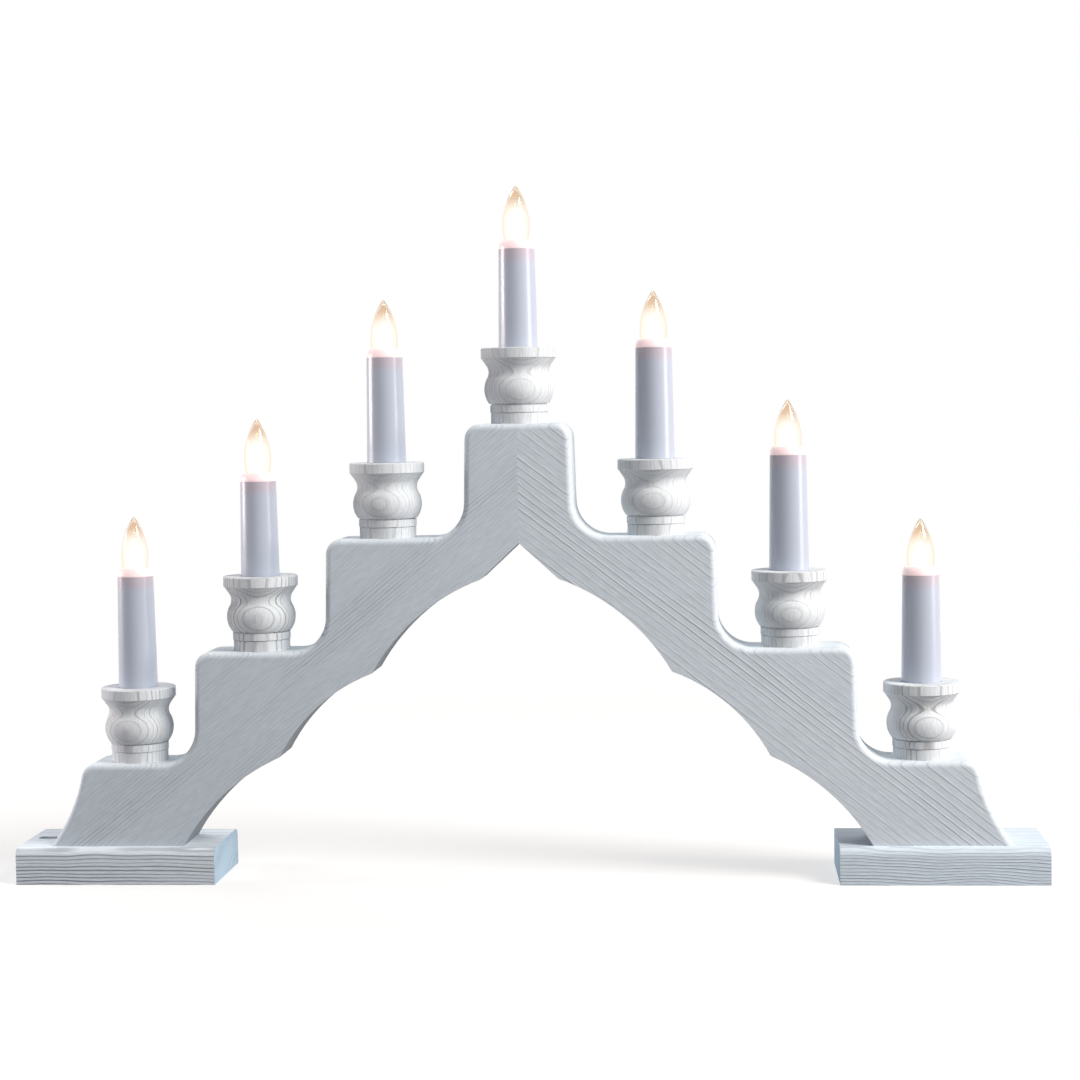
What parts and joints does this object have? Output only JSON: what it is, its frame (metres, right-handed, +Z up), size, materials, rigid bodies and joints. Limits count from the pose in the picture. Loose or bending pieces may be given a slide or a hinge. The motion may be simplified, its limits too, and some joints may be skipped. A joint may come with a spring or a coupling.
{
  "type": "candle arch",
  "caption": "Stepped wooden candle arch with scalloped underside, turned cups and electric candles with pointed bulbs.",
  "frame": {"origin": "on the table, at the middle of the feet", "axes": "+X along the arch to the right, +Y to the back where the wiring channel is, +Z up"},
  "size_m": [0.44, 0.046, 0.2958],
  "materials": {
    "washed_spruce": "white-washed, matt",
    "beech": "bare",
    "zinc_steel": "zinc plated",
    "wire_insulation": "matt",
    "thread_brass": "pressed",
    "sleeve_plastic": "satin",
    "holder_plastic": "satin",
    "clear_glass": "clear",
    "cap_nickel": "nickel plated",
    "filament_wire": "drawn"
  },
  "bodies": {
    "arch": {"left_board": "washed_spruce", "right_board": "washed_spruce", "left_foot": "washed_spruce", "right_foot": "washed_spruce", "mitre_dowels": "beech", "foot_screws": "zinc_steel", "wire_staples": "zinc_steel", "series_wires": "wire_insulation", "thread_shells": "thread_brass", "cup_1": "washed_spruce", "lamp_holder_1": "holder_plastic", "cup_2": "washed_spruce", "lamp_holder_2": "holder_plastic", "cup_3": "washed_spruce", "lamp_holder_3": "holder_plastic", "cup_4": "washed_spruce", "lamp_holder_4": "holder_plastic", "cup_5": "washed_spruce", "lamp_holder_5": "holder_plastic", "cup_6": "washed_spruce", "lamp_holder_6": "holder_plastic", "cup_7": "washed_spruce", "lamp_holder_7": "holder_plastic"},
    "sleeve_1": {"candle_sleeve_1": "sleeve_plastic"},
    "contact_1": {"centre_contact_1": "thread_brass"},
    "bulb_1": {"bulb_glass_1": "clear_glass", "bulb_cap_1": "cap_nickel", "bulb_filament_1": "filament_wire"},
    "sleeve_2": {"candle_sleeve_2": "sleeve_plastic"},
    "contact_2": {"centre_contact_2": "thread_brass"},
    "bulb_2": {"bulb_glass_2": "clear_glass", "bulb_cap_2": "cap_nickel", "bulb_filament_2": "filament_wire"},
    "sleeve_3": {"candle_sleeve_3": "sleeve_plastic"},
    "contact_3": {"centre_contact_3": "thread_brass"},
    "bulb_3": {"bulb_glass_3": "clear_glass", "bulb_cap_3": "cap_nickel", "bulb_filament_3": "filament_wire"},
    "sleeve_4": {"candle_sleeve_4": "sleeve_plastic"},
    "contact_4": {"centre_contact_4": "thread_brass"},
    "bulb_4": {"bulb_glass_4": "clear_glass", "bulb_cap_4": "cap_nickel", "bulb_filament_4": "filament_wire"},
    "sleeve_5": {"candle_sleeve_5": "sleeve_plastic"},
    "contact_5": {"centre_contact_5": "thread_brass"},
    "bulb_5": {"bulb_glass_5": "clear_glass", "bulb_cap_5": "cap_nickel", "bulb_filament_5": "filament_wire"},
    "sleeve_6": {"candle_sleeve_6": "sleeve_plastic"},
    "contact_6": {"centre_contact_6": "thread_brass"},
    "bulb_6": {"bulb_glass_6": "clear_glass", "bulb_cap_6": "cap_nickel", "bulb_filament_6": "filament_wire"},
    "sleeve_7": {"candle_sleeve_7": "sleeve_plastic"},
    "contact_7": {"centre_contact_7": "thread_brass"},
    "bulb_7": {"bulb_glass_7": "clear_glass", "bulb_cap_7": "cap_nickel", "bulb_filament_7": "filament_wire"}
  },
  "joints": [
    {"name": "sleeve_slide_1", "type": "slide", "parent": "arch", "child": "sleeve_1", "axis": [0, 0, 1], "range_m": [-0.0026, 0.0841]},
    {"name": "contact_rise_1", "type": "slide", "parent": "arch", "child": "contact_1", "axis": [0, 0, 1], "range_m": [0, 0.00181]},
    {"name": "bulb_turn_1", "type": "hinge", "parent": "contact_1", "child": "bulb_1", "pos_m": [-0.1687, -0.0053, 0.1116], "axis": [0, 0, 1], "range_deg": [0, 360]},
    {"name": "sleeve_slide_2", "type": "slide", "parent": "arch", "child": "sleeve_2", "axis": [0, 0, 1], "range_m": [-0.0015, 0.0852]},
    {"name": "contact_rise_2", "type": "slide", "parent": "arch", "child": "contact_2", "axis": [0, 0, 1], "range_m": [0, 0.00181]},
    {"name": "bulb_turn_2", "type": "hinge", "parent": "contact_2", "child": "bulb_2", "pos_m": [-0.1136, -0.0053, 0.1595], "axis": [0, 0, 1], "range_deg": [0, 360]},
    {"name": "sleeve_slide_3", "type": "slide", "parent": "arch", "child": "sleeve_3", "axis": [0, 0, 1], "range_m": [-0.0037, 0.083]},
    {"name": "contact_rise_3", "type": "slide", "parent": "arch", "child": "contact_3", "axis": [0, 0, 1], "range_m": [0, 0.00181]},
    {"name": "bulb_turn_3", "type": "hinge", "parent": "contact_3", "child": "bulb_3", "pos_m": [-0.05749, -0.0053, 0.2074], "axis": [0, 0, 1], "range_deg": [0, 360]},
    {"name": "sleeve_slide_4", "type": "slide", "parent": "arch", "child": "sleeve_4", "axis": [0, 0, 1], "range_m": [-0.0014, 0.0853]},
    {"name": "contact_rise_4", "type": "slide", "parent": "arch", "child": "contact_4", "axis": [0, 0, 1], "range_m": [0, 0.00181]},
    {"name": "bulb_turn_4", "type": "hinge", "parent": "contact_4", "child": "bulb_4", "pos_m": [0, -0.0053, 0.2553], "axis": [0, 0, 1], "range_deg": [0, 360]},
    {"name": "sleeve_slide_5", "type": "slide", "parent": "arch", "child": "sleeve_5", "axis": [0, 0, 1], "range_m": [-0.0042, 0.0825]},
    {"name": "contact_rise_5", "type": "slide", "parent": "arch", "child": "contact_5", "axis": [0, 0, 1], "range_m": [0, 0.00181]},
    {"name": "bulb_turn_5", "type": "hinge", "parent": "contact_5", "child": "bulb_5", "pos_m": [0.05749, -0.0053, 0.2074], "axis": [0, 0, 1], "range_deg": [0, 360]},
    {"name": "sleeve_slide_6", "type": "slide", "parent": "arch", "child": "sleeve_6", "axis": [0, 0, 1], "range_m": [-0.005, 0.0817]},
    {"name": "contact_rise_6", "type": "slide", "parent": "arch", "child": "contact_6", "axis": [0, 0, 1], "range_m": [0, 0.00181]},
    {"name": "bulb_turn_6", "type": "hinge", "parent": "contact_6", "child": "bulb_6", "pos_m": [0.1136, -0.0053, 0.1595], "axis": [0, 0, 1], "range_deg": [0, 360]},
    {"name": "sleeve_slide_7", "type": "slide", "parent": "arch", "child": "sleeve_7", "axis": [0, 0, 1], "range_m": [-0.0046, 0.0821]},
    {"name": "contact_rise_7", "type": "slide", "parent": "arch", "child": "contact_7", "axis": [0, 0, 1], "range_m": [0, 0.00181]},
    {"name": "bulb_turn_7", "type": "hinge", "parent": "contact_7", "child": "bulb_7", "pos_m": [0.1687, -0.0053, 0.1116], "axis": [0, 0, 1], "range_deg": [0, 360]}
  ],
  "couplings": [
    {"joint": "bulb_turn_1", "follows": "contact_rise_1", "rad_per_m": 3463.7},
    {"joint": "bulb_turn_2", "follows": "contact_rise_2", "rad_per_m": 3463.7},
    {"joint": "bulb_turn_3", "follows": "contact_rise_3", "rad_per_m": 3463.7},
    {"joint": "bulb_turn_4", "follows": "contact_rise_4", "rad_per_m": 3463.7},
    {"joint": "bulb_turn_5", "follows": "contact_rise_5", "rad_per_m": 3463.7},
    {"joint": "bulb_turn_6", "follows": "contact_rise_6", "rad_per_m": 3463.7},
    {"joint": "bulb_turn_7", "follows": "contact_rise_7", "rad_per_m": 3463.7}
  ]
}
